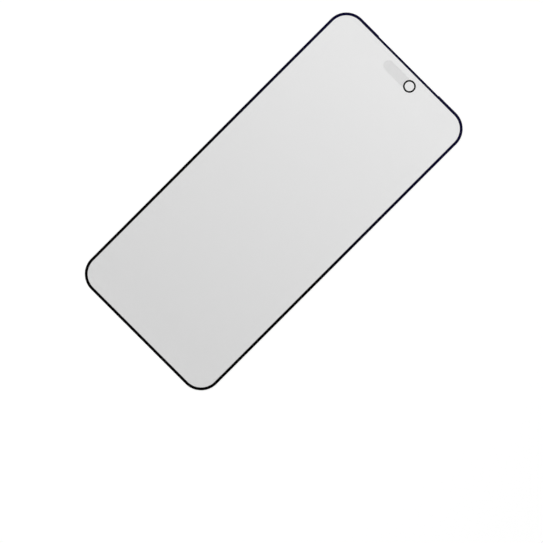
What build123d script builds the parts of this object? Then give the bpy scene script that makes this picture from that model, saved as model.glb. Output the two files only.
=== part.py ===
from build123d import *
import os

os.makedirs("parts", exist_ok=True)

# Phone screen protector: one sheet of tinted toughened glass with print set into its underside.
# Millimetres. The sheet lies on its underside with the middle of that face at the origin,
# +Y towards the earpiece end, +X to the right and +Z out of the face that is touched.

# Sheet
sheet_length = 142.5
sheet_width = 66.0
sheet_thickness = 0.45
corner_radius = 8.15

# Ground rim: the outer face leaves flat and falls along an arc to the side wall, all the way round
rim_width = 0.7
rim_drop = 0.14
rim_overcut = 0.3

# Earpiece relief: a very shallow step in the upper end, with short sloping ends and blended inner corners
relief_length = 31.4
relief_depth = 0.19
relief_slope_run = 0.2
relief_blend_radius = 0.3

# Print: thin coats of colour in pockets, a hair above the face that the sheet lies on
print_thickness = 0.04
print_recess = 0.01
border_width = 1.05

# Camera ring, placed from the upper end and from the sheet's centreline
ring_radius = 2.38
ring_line = 0.61
ring_from_end = 5.24
ring_from_centreline = 5.44

# Sensor window: a bar with a round end, in line with the camera ring and running up to it
window_width = 4.05
window_end_from_centreline = 7.5

# Places worked out from the sizes
end_edge = sheet_length / 2
relief_edge = end_edge - relief_depth
relief_mouth = (relief_length + relief_slope_run) / 2
relief_floor = (relief_length - relief_slope_run) / 2
ring_row = end_edge - ring_from_end
window_end_arc = window_width / 2 - window_end_from_centreline
pocket_depth = print_recess + print_thickness

# Edge of the outer face before the relief is cut, which the rim is ground along
with BuildSketch(Plane.XY.offset(sheet_thickness)) as outer_face:
    RectangleRounded(sheet_width, sheet_length, corner_radius)

# Outline of the sheet, with the relief cut into its upper end
with BuildSketch() as outline:
    RectangleRounded(sheet_width, sheet_length, corner_radius)
    with BuildLine():
        Polyline(
            (-relief_mouth, end_edge),
            (-relief_floor, relief_edge),
            (relief_floor, relief_edge),
            (relief_mouth, end_edge),
            close=True,
        )
    make_face(mode=Mode.SUBTRACT)
    fillet(outline.vertices(Select.LAST).group_by(Axis.Y)[0], relief_blend_radius)

# Border: from the sheet's own outline in to a plain rounded rectangle, which passes the relief straight
with BuildSketch() as border_field:
    add(outline.sketch)
    RectangleRounded(
        sheet_width - 2 * border_width,
        sheet_length - 2 * border_width,
        corner_radius - border_width,
        mode=Mode.SUBTRACT,
    )

with BuildSketch() as ring_field:
    with Locations((ring_from_centreline, ring_row)):
        Circle(ring_radius)
        Circle(ring_radius - ring_line, mode=Mode.SUBTRACT)

with BuildSketch() as window_field:
    with Locations(((window_end_arc + ring_from_centreline) / 2, ring_row)):
        SlotCenterToCenter(ring_from_centreline - window_end_arc, window_width)
    with Locations((ring_from_centreline, ring_row)):
        Circle(ring_radius, mode=Mode.SUBTRACT)

# Glass sheet: the blank, its ground rim, and the pockets for the print
with BuildPart() as glass_sheet:
    extrude(outline.sketch, amount=sheet_thickness)
    side_edge = Plane(origin=(sheet_width / 2, 0, sheet_thickness), x_dir=(1, 0, 0), z_dir=(0, -1, 0))
    with BuildSketch(side_edge):
        with BuildLine():
            TangentArc((-rim_width, 0), (0, -rim_drop), tangent=(1, 0))
            Polyline(
                (0, -rim_drop),
                (rim_overcut, -rim_drop),
                (rim_overcut, rim_overcut),
                (-rim_width, rim_overcut),
                (-rim_width, 0),
            )
        make_face()
    sweep(path=outer_face.sketch.wire(), mode=Mode.SUBTRACT)
    for field in (border_field, ring_field, window_field):
        extrude(field.sketch, amount=pocket_depth, mode=Mode.SUBTRACT)

glass_sheet.part.label = "glass_sheet"
export_step(glass_sheet.part, "parts/glass_sheet.step")

# Black border, printed along the edge
with BuildPart() as black_border:
    with BuildSketch(Plane.XY.offset(print_recess)):
        add(border_field.sketch)
    extrude(amount=print_thickness)

black_border.part.label = "black_border"
export_step(black_border.part, "parts/black_border.step")

# Camera ring, a line printed round a clear field of the glass
with BuildPart() as camera_ring:
    with BuildSketch(Plane.XY.offset(print_recess)):
        add(ring_field.sketch)
    extrude(amount=print_thickness)

camera_ring.part.label = "camera_ring"
export_step(camera_ring.part, "parts/camera_ring.step")

# Sensor window, a darker field beside the ring
with BuildPart() as sensor_window:
    with BuildSketch(Plane.XY.offset(print_recess)):
        add(window_field.sketch)
    extrude(amount=print_thickness)

sensor_window.part.label = "sensor_window"
export_step(sensor_window.part, "parts/sensor_window.step")
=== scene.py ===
import math

import bmesh
import bpy
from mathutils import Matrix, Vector


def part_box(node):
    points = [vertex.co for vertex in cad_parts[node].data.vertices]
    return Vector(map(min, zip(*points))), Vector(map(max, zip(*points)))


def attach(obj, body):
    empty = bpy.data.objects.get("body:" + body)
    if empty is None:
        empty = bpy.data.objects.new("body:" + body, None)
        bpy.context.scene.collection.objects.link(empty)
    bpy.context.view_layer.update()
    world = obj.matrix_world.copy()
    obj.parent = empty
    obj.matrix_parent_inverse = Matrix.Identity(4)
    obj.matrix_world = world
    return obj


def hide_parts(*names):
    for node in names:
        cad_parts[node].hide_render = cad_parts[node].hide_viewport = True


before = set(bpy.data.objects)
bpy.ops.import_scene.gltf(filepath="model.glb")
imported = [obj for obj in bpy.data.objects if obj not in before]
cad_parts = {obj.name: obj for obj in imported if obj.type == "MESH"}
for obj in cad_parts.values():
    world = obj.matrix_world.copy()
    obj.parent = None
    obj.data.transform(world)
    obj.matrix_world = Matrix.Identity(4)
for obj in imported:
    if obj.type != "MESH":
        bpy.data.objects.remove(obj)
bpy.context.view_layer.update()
scene = bpy.context.scene

# Sizes of the solids that their boxes don't give. Meshes are made in millimetres and scaled at the end.

MM = 0.001
CORNER_RADIUS = 8.15
RIM_WIDTH, RIM_DROP = 0.7, 0.14
RELIEF_HALF_MOUTH, RELIEF_HALF_FLOOR = 15.8, 15.6
RELIEF_DEPTH, RELIEF_BLEND = 0.19, 0.3
BORDER_WIDTH = 1.05
RING_LINE = 0.61

# Steps of the meshes, and the clearance that keeps the print's faces out of its pocket's planes

CORNER_STEPS, RIM_STEPS, BLEND_STEPS, ROUND_STEPS = 24, 8, 5, 96
SPAN = 8.0
FLAT_LEDGE = 0.05
PRINT_CLEARANCE = 0.002
SHARP_ANGLE = math.radians(30.0)


def box_mm(node):
    """Lowest and highest corner of a node."""
    low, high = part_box(node)
    return low / MM, high / MM


half_width, half_length, thickness = box_mm("glass_sheet")[1]
print_floor, print_ceiling = (corner.z for corner in box_mm("black_border"))
print_top = print_ceiling - PRINT_CLEARANCE
ring_low, ring_high = box_mm("camera_ring")
ring_centre = (ring_low + ring_high) / 2
ring_radius = (ring_high.y - ring_low.y) / 2
ring_hole = ring_radius - RING_LINE
window_low, window_high = box_mm("sensor_window")
window_half = (window_high.y - window_low.y) / 2
rim_arc = (RIM_WIDTH ** 2 + RIM_DROP ** 2) / (2 * RIM_DROP)


# Outlines

def spread(first, last, longest):
    """Even steps from first towards last, which is left out."""
    count = max(1, math.ceil(abs(last - first) / longest))
    return [first + (last - first) * step / count for step in range(count)]


def upper_side(length):
    """Places along the upper side, with the depth of the earpiece relief at each."""
    middle = length / 2
    turn = math.atan2(RELIEF_DEPTH, RELIEF_HALF_MOUTH - RELIEF_HALF_FLOOR)
    start = RELIEF_HALF_FLOOR - RELIEF_BLEND * math.tan(turn / 2)
    half = [(RELIEF_HALF_MOUTH, 0.0)]
    for step in range(BLEND_STEPS + 1):
        angle = turn * (1 - step / BLEND_STEPS)
        depth = RELIEF_DEPTH - RELIEF_BLEND * (1 - math.cos(angle))
        half.append((start + RELIEF_BLEND * math.sin(angle), depth))
    marks = [(place, 0.0) for place in spread(0.0, middle - RELIEF_HALF_MOUTH, SPAN)]
    marks += [(middle - across, depth) for across, depth in half[:-1]]
    marks += [(place, RELIEF_DEPTH) for place in spread(middle - start, middle + start, SPAN)]
    marks += [(middle + across, depth) for across, depth in reversed(half)]
    return marks + [(place, 0.0) for place in spread(middle + RELIEF_HALF_MOUTH, length, SPAN)[1:]]


def plain_side(length):
    return [(place, 0.0) for place in spread(0.0, length, SPAN)]


def way_out(quarters):
    """Direction after that many quarter turns from +X."""
    angle = math.radians(90.0) * quarters
    return Vector((math.cos(angle), math.sin(angle)))


def stations():
    """Round the sheet: a point of the plain outline, the way out from there, and the relief's depth."""
    across, along = half_width - CORNER_RADIUS, half_length - CORNER_RADIUS
    corners = ((across, along), (-across, along), (-across, -along), (across, -along))
    centres = [Vector(corner) for corner in corners]
    found = []
    for number, centre in enumerate(centres):
        for step in range(CORNER_STEPS):
            out = way_out(number + step / CORNER_STEPS)
            found.append((centre + CORNER_RADIUS * out, out, 0.0))
        out = way_out(number + 1)
        run = centres[(number + 1) % len(centres)] - centre
        side = upper_side(run.length) if number == 0 else plain_side(run.length)
        start, way = centre + CORNER_RADIUS * out, run.normalized()
        found += [(start + way * place, out, depth) for place, depth in side]
    return found


def rim_level(inset):
    """Height of the outer face at that distance inside the plain outline."""
    run = max(RIM_WIDTH - inset, 0.0)
    return thickness - rim_arc + math.sqrt(rim_arc ** 2 - run ** 2)


def glass_section(depth):
    """Edge of the glass as inset and height: flat, ground rim, side wall, and the border's pocket."""
    rim = [RIM_WIDTH + (depth - RIM_WIDTH) * step / RIM_STEPS for step in range(RIM_STEPS + 1)]
    pocket = [(depth, print_ceiling), (BORDER_WIDTH, print_ceiling), (BORDER_WIDTH, 0.0)]
    flat = [(RIM_WIDTH + FLAT_LEDGE, thickness)]
    return flat + [(inset, rim_level(inset)) for inset in rim] + pocket


def border_section(depth):
    inner = BORDER_WIDTH - PRINT_CLEARANCE
    return [(depth, print_floor), (depth, print_top), (inner, print_top), (inner, print_floor)]


def arc(centre, radius, first, last, steps):
    """Points from one angle to another, in degrees, both ends included."""
    points = []
    for step in range(steps + 1):
        angle = math.radians(first + (last - first) * step / steps)
        points.append((centre.x + radius * math.cos(angle), centre.y + radius * math.sin(angle)))
    return points


def circle(radius):
    """All round the middle of the camera ring."""
    return arc(ring_centre, radius, 0.0, 360.0, ROUND_STEPS)[:-1]


def window_outline(half, radius, round_ring):
    """Slot with one round end, closed round the camera ring or along the ring's near side."""
    meet = math.degrees(math.asin(half / radius))
    end = Vector((window_low.x + window_half, ring_centre.y))
    slot = arc(end, half, 90.0, 270.0, ROUND_STEPS // 3)
    if round_ring:
        return slot + arc(ring_centre, radius, meet - 180.0, 180.0 - meet, ROUND_STEPS * 2 // 3)
    return slot + arc(ring_centre, radius, 180.0 + meet, 180.0 - meet, ROUND_STEPS // 3)


# Meshes

def loop_at(shape, points, height):
    return [shape.verts.new((x, y, height)) for x, y in points]


def sections(shape, section):
    """The section's corners at each station."""
    return [[shape.verts.new((*(point - out * inset), height)) for inset, height in section(depth)]
            for point, out, depth in stations()]


def skin(shape, rows, closed=False):
    """Quads between neighbouring sections all the way round."""
    for row, after in zip(rows, rows[1:] + rows[:1]):
        for place in range(len(row) if closed else len(row) - 1):
            beside = (place + 1) % len(row)
            shape.faces.new((row[place], after[place], after[beside], row[beside]))


def fill(shape, *loops):
    """Faces between one loop and the loops inside it."""
    edges = [shape.edges.get(pair) for loop in loops for pair in zip(loop, loop[1:] + loop[:1])]
    bmesh.ops.triangle_fill(shape, edges=edges, use_beauty=True)


def prism(outline, *holes):
    """Coat of print on an outline, with holes through it."""
    shape = bmesh.new()
    lower = [loop_at(shape, points, print_floor) for points in (outline, *holes)]
    upper = [loop_at(shape, points, print_top) for points in (outline, *holes)]
    for below, above in zip(lower, upper):
        skin(shape, list(zip(below, above)))
    fill(shape, *lower)
    fill(shape, *upper)
    return shape


def glass_mesh():
    """The sheet with its rim, relief and print pockets. Inside the ring the glass comes down again."""
    shape = bmesh.new()
    rows = sections(shape, glass_section)
    skin(shape, rows)
    shape.faces.new([row[0] for row in rows])
    field = window_outline(window_half, ring_radius, True)
    field_edge, field_roof = loop_at(shape, field, 0.0), loop_at(shape, field, print_ceiling)
    boss = circle(ring_hole)
    boss_foot, boss_root = loop_at(shape, boss, 0.0), loop_at(shape, boss, print_ceiling)
    skin(shape, list(zip(field_edge, field_roof)))
    skin(shape, list(zip(boss_foot, boss_root)))
    fill(shape, [row[-1] for row in rows], field_edge)
    fill(shape, field_roof, boss_root)
    shape.faces.new(boss_foot)
    return shape


def border_mesh():
    shape = bmesh.new()
    skin(shape, sections(shape, border_section), closed=True)
    return shape


def ring_mesh():
    return prism(circle(ring_radius - PRINT_CLEARANCE), circle(ring_hole + PRINT_CLEARANCE))


def window_mesh():
    return prism(window_outline(window_half - PRINT_CLEARANCE, ring_radius + PRINT_CLEARANCE, False))


def piece(name, node, look, shape):
    """Puts a finished mesh in the scene, where it stands for its node."""
    bmesh.ops.recalc_face_normals(shape, faces=shape.faces)
    bmesh.ops.scale(shape, vec=(MM, MM, MM), verts=shape.verts)
    mesh = bpy.data.meshes.new(name)
    shape.to_mesh(mesh)
    shape.free()
    mesh.shade_smooth()
    mesh.set_sharp_from_angle(angle=SHARP_ANGLE)
    mesh.materials.append(look)
    made = bpy.data.objects.new(name, mesh)
    scene.collection.objects.link(made)
    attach(made, "root")
    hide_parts(node)


# Node helpers, with the places of a Mix node's colour sockets

MIX_FIRST, MIX_SECOND, MIX_RESULT = 6, 7, 2


def new_material(name):
    """A material with an empty tree, and the tree's output node."""
    made = bpy.data.materials.new(name)
    made.use_nodes = True
    made.node_tree.nodes.clear()
    return made, made.node_tree, made.node_tree.nodes.new("ShaderNodeOutputMaterial")


def add(tree, kind, inputs=None, **settings):
    """A node of that kind. An input is a number or colour, or the output socket that feeds it."""
    made = tree.nodes.new(kind)
    for name, value in settings.items():
        setattr(made, name, value)
    for name, value in (inputs or {}).items():
        if isinstance(value, bpy.types.NodeSocket):
            tree.links.new(value, made.inputs[name])
        else:
            made.inputs[name].default_value = value
    return made


def grey(value):
    return (value, value, value, 1.0)


def places(tree):
    """Points of the surface in the part's own frame, in metres."""
    return add(tree, "ShaderNodeTexCoord").outputs["Object"]


def along_length(tree, where, start, end):
    """0 at start and 1 at end, both in metres along the sheet."""
    split = add(tree, "ShaderNodeSeparateXYZ", {"Vector": where})
    span = add(tree, "ShaderNodeMapRange", {
        "Value": split.outputs["Y"], "From Min": start, "From Max": end})
    return span.outputs["Result"]


def noise(tree, where, scale, detail=2.0):
    made = add(tree, "ShaderNodeTexNoise", {"Vector": where, "Scale": scale, "Detail": detail})
    return made.outputs["Fac"]


def between(tree, factor, low, high):
    """A number from low to high as factor goes from 0 to 1."""
    made = add(tree, "ShaderNodeMapRange", {"Value": factor, "To Min": low, "To Max": high})
    return made.outputs["Result"]


def colours(tree, factor, first, second):
    """A colour from first to second as factor goes from 0 to 1."""
    made = add(tree, "ShaderNodeMix", {0: factor, MIX_FIRST: first, MIX_SECOND: second}, data_type="RGBA")
    return made.outputs[MIX_RESULT]


# Tinted glass: lets the light through with a grey tint, and painted light that makes it paler towards the
# upper end

GLASS_IOR = 1.5
# The grey is the glass's own tint; its change along the sheet is painted light, paler towards the upper
# end
PAINTED_LIGHT_START, PAINTED_LIGHT_END = -0.058, 0.060
TINT_DARKER_END, TINT_PAINTED_LIGHTER_END = grey(0.885), grey(0.936)
WAVE_SCALE, WAVE_STRENGTH, WAVE_HEIGHT = 90.0, 0.03, 0.0004
POLISHED_SCALE, POLISHED_ROUGHNESS = 70.0, (0.03, 0.08)
GROUND_SCALE, GROUND_ROUGHNESS = 900.0, (0.08, 0.16)
FLAT_FACING, GROUND_FACING = 0.9995, 0.99


def turned_from_flat(tree):
    """0 on the flat faces and 1 on the ground rim and the side wall."""
    normal = add(tree, "ShaderNodeTexCoord").outputs["Normal"]
    facing = add(tree, "ShaderNodeSeparateXYZ", {"Vector": normal})
    upright = add(tree, "ShaderNodeMath", {0: facing.outputs["Z"]}, operation="ABSOLUTE")
    slope = add(tree, "ShaderNodeMapRange", {
        "Value": upright.outputs[0], "From Min": FLAT_FACING, "From Max": GROUND_FACING})
    return slope.outputs["Result"]


def tinted_glass():
    made, tree, out = new_material("tinted_glass_look")
    where = places(tree)
    # Painted light: the grey tint pales from the lower end towards the upper end
    tint = colours(tree, along_length(tree, where, PAINTED_LIGHT_START, PAINTED_LIGHT_END), TINT_DARKER_END, TINT_PAINTED_LIGHTER_END)
    through = add(tree, "ShaderNodeBsdfTransparent", {"Color": tint})
    wave = add(tree, "ShaderNodeBump", {
        "Height": noise(tree, where, WAVE_SCALE), "Strength": WAVE_STRENGTH, "Distance": WAVE_HEIGHT})
    polished = between(tree, noise(tree, where, POLISHED_SCALE, detail=4.0), *POLISHED_ROUGHNESS)
    ground = between(tree, noise(tree, where, GROUND_SCALE, detail=3.0), *GROUND_ROUGHNESS)
    finish = add(tree, "ShaderNodeMix", {"Factor": turned_from_flat(tree), "A": polished, "B": ground})
    gloss = add(tree, "ShaderNodeBsdfAnisotropic", {
        "Color": grey(1.0),
        "Roughness": finish.outputs["Result"],
        "Normal": wave.outputs["Normal"],
    })
    sides = add(tree, "ShaderNodeNewGeometry")
    front = add(tree, "ShaderNodeMath", {0: 1.0, 1: sides.outputs["Backfacing"]}, operation="SUBTRACT")
    fresnel = add(tree, "ShaderNodeFresnel", {"IOR": GLASS_IOR})
    share = add(tree, "ShaderNodeMath", {
        0: fresnel.outputs["Fac"], 1: front.outputs[0]}, operation="MULTIPLY")
    mix = add(tree, "ShaderNodeMixShader", {
        0: share.outputs[0], 1: through.outputs[0], 2: gloss.outputs[0]})
    tree.links.new(mix.outputs[0], out.inputs["Surface"])
    return made


# Print: fine-grained black coats and a grey tint; the border's black turns navy towards the upper end

INK_GRAIN, INK_GRAIN_STRENGTH, INK_GRAIN_HEIGHT = 5000.0, 0.15, 0.00001
INK_ROUGHNESS, INK_SPECULAR = (0.35, 0.55), 0.1
BLACK, BLACK_GRAIN = (0.0004, 0.0004, 0.0005, 1.0), (0.0008, 0.0008, 0.0010, 1.0)
NAVY, NAVY_START, NAVY_END = (0.0040, 0.0028, 0.0420, 1.0), -0.012, 0.071
WINDOW_GRAIN = 4000.0
WINDOW_DEEP, WINDOW_PALE = grey(0.960), grey(0.974)


def ink(name, turns_navy):
    made, tree, out = new_material(name)
    where = places(tree)
    grain = noise(tree, where, INK_GRAIN, detail=3.0)
    if turns_navy:
        base = colours(tree, along_length(tree, where, NAVY_START, NAVY_END), BLACK, NAVY)
    else:
        base = colours(tree, grain, BLACK, BLACK_GRAIN)
    bump = add(tree, "ShaderNodeBump", {
        "Height": grain, "Strength": INK_GRAIN_STRENGTH, "Distance": INK_GRAIN_HEIGHT})
    coat = add(tree, "ShaderNodeBsdfPrincipled", {
        "Base Color": base,
        "Roughness": between(tree, grain, *INK_ROUGHNESS),
        "Specular IOR Level": INK_SPECULAR,
        "Normal": bump.outputs["Normal"],
    })
    tree.links.new(coat.outputs[0], out.inputs["Surface"])
    return made


def window_tint():
    made, tree, out = new_material("window_tint_look")
    grain = noise(tree, places(tree), WINDOW_GRAIN, detail=3.0)
    tint = colours(tree, grain, WINDOW_DEEP, WINDOW_PALE)
    through = add(tree, "ShaderNodeBsdfTransparent", {"Color": tint})
    tree.links.new(through.outputs[0], out.inputs["Surface"])
    return made


piece("sheet", "glass_sheet", tinted_glass(), glass_mesh())
piece("border", "black_border", ink("border_print_look", True), border_mesh())
piece("ring", "camera_ring", ink("ring_print_look", False), ring_mesh())
piece("window", "sensor_window", window_tint(), window_mesh())


# Floor

FLOOR_SIDE = 8.0
FLOOR_LEVEL = -0.00002
FLOOR_COLOUR = grey(0.8)
FLOOR_GLOW = 0.335


def seen(tree):
    """1 for what the camera sees, also by reflection or through glass."""
    path = add(tree, "ShaderNodeLightPath")
    first = add(tree, "ShaderNodeMath", {
        0: path.outputs["Is Camera Ray"], 1: path.outputs["Is Glossy Ray"]}, operation="MAXIMUM")
    both = add(tree, "ShaderNodeMath", {
        0: first.outputs[0], 1: path.outputs["Is Transmission Ray"]}, operation="MAXIMUM")
    return both.outputs[0]


def pale_floor():
    made, tree, out = new_material("pale_floor")
    matt = add(tree, "ShaderNodeBsdfDiffuse", {"Color": FLOOR_COLOUR})
    glow = add(tree, "ShaderNodeEmission", {"Strength": between(tree, seen(tree), 0.0, FLOOR_GLOW)})
    both = add(tree, "ShaderNodeAddShader", {0: matt.outputs[0], 1: glow.outputs[0]})
    tree.links.new(both.outputs[0], out.inputs["Surface"])
    return made


def make_floor():
    half = FLOOR_SIDE / 2
    mesh = bpy.data.meshes.new("floor")
    corners = ((-half, -half), (half, -half), (half, half), (-half, half))
    mesh.from_pydata([(*corner, FLOOR_LEVEL) for corner in corners], [], [(0, 1, 2, 3)])
    mesh.materials.append(pale_floor())
    floor = bpy.data.objects.new("floor", mesh)
    scene.collection.objects.link(floor)


make_floor()


# Light

WORLD_LIGHT = 0.40
CARD_START, CARD_FULL, CARD_SHADE = 0.36, 0.66, 0.04
PANELS, PANEL_LEAN, PANEL_EDGE = 20.0, 1.3, 0.3
PANEL_DIM, PANEL_BRIGHT = 0.3, 1.3


def mirrored_studio(tree):
    """What polished glass mirrors: soft panels all round and a dark card above."""
    towards = add(tree, "ShaderNodeTexCoord").outputs["Generated"]
    split = add(tree, "ShaderNodeSeparateXYZ", {"Vector": towards})
    height = split.outputs["Z"]
    card = add(tree, "ShaderNodeMapRange", {
        "Value": height, "From Min": CARD_START, "From Max": CARD_FULL,
        "To Min": 1.0, "To Max": CARD_SHADE}, interpolation_type="SMOOTHSTEP")
    turn = add(tree, "ShaderNodeMath", {
        0: split.outputs["Y"], 1: split.outputs["X"]}, operation="ARCTAN2")
    lean = add(tree, "ShaderNodeMath", {
        0: height, 1: PANEL_LEAN, 2: turn.outputs[0]}, operation="MULTIPLY_ADD")
    repeated = add(tree, "ShaderNodeMath", {0: lean.outputs[0], 1: PANELS}, operation="MULTIPLY")
    swing = add(tree, "ShaderNodeMath", {0: repeated.outputs[0]}, operation="SINE")
    panel = add(tree, "ShaderNodeMapRange", {
        "Value": swing.outputs[0], "From Min": -PANEL_EDGE, "From Max": PANEL_EDGE,
        "To Min": PANEL_DIM, "To Max": PANEL_BRIGHT}, interpolation_type="SMOOTHSTEP")
    both = add(tree, "ShaderNodeMath", {
        0: card.outputs["Result"], 1: panel.outputs["Result"]}, operation="MULTIPLY")
    return add(tree, "ShaderNodeBackground", {"Strength": both.outputs[0]})


def make_world():
    """Even light, white where the camera looks past the floor, and the studio in reflections."""
    world = bpy.data.worlds.new("studio")
    world.use_nodes = True
    tree = world.node_tree
    tree.nodes.clear()
    out = tree.nodes.new("ShaderNodeOutputWorld")
    white = add(tree, "ShaderNodeBackground", {"Strength": 1.0})
    light = add(tree, "ShaderNodeBackground", {"Strength": WORLD_LIGHT})
    path = add(tree, "ShaderNodeLightPath")
    shown = add(tree, "ShaderNodeMixShader", {
        0: path.outputs["Is Glossy Ray"], 1: white.outputs[0], 2: mirrored_studio(tree).outputs[0]})
    mix = add(tree, "ShaderNodeMixShader", {0: seen(tree), 1: light.outputs[0], 2: shown.outputs[0]})
    tree.links.new(mix.outputs[0], out.inputs["Surface"])
    scene.world = world


def softbox(name, place, width, depth, power):
    """A soft area lamp that faces the middle of the sheet."""
    lamp = bpy.data.lights.new(name, "AREA")
    lamp.shape = "RECTANGLE"
    lamp.size, lamp.size_y = width, depth
    lamp.energy = power
    box = bpy.data.objects.new(name, lamp)
    box.location = place
    box.rotation_euler = (-Vector(place)).to_track_quat("-Z", "Y").to_euler()
    box.visible_glossy = False
    scene.collection.objects.link(box)


make_world()
softbox("key", place=(-1.6, 0.5, 1.5), width=1.6, depth=1.2, power=34.0)
softbox("fill", place=(1.6, -1.2, 1.4), width=1.4, depth=1.4, power=16.0)


# Camera: straight above the sheet, turned an eighth of a circle as in the photograph

LENS, SENSOR = 200.0, 36.0
SEEN_WIDTH = 0.2022
CENTRE = (0.01788, -0.01905)
TURN = math.radians(45.0)
LAYERS_SEEN_THROUGH = 24

camera = bpy.data.cameras.new("camera")
camera.lens, camera.sensor_width = LENS, SENSOR
holder = bpy.data.objects.new("camera", camera)
holder.location = (*CENTRE, SEEN_WIDTH * LENS / SENSOR)
holder.rotation_euler = (0.0, 0.0, TURN)
scene.collection.objects.link(holder)
bpy.context.scene.camera = holder
scene.view_settings.view_transform = "Standard"
scene.cycles.transparent_max_bounces = LAYERS_SEEN_THROUGH
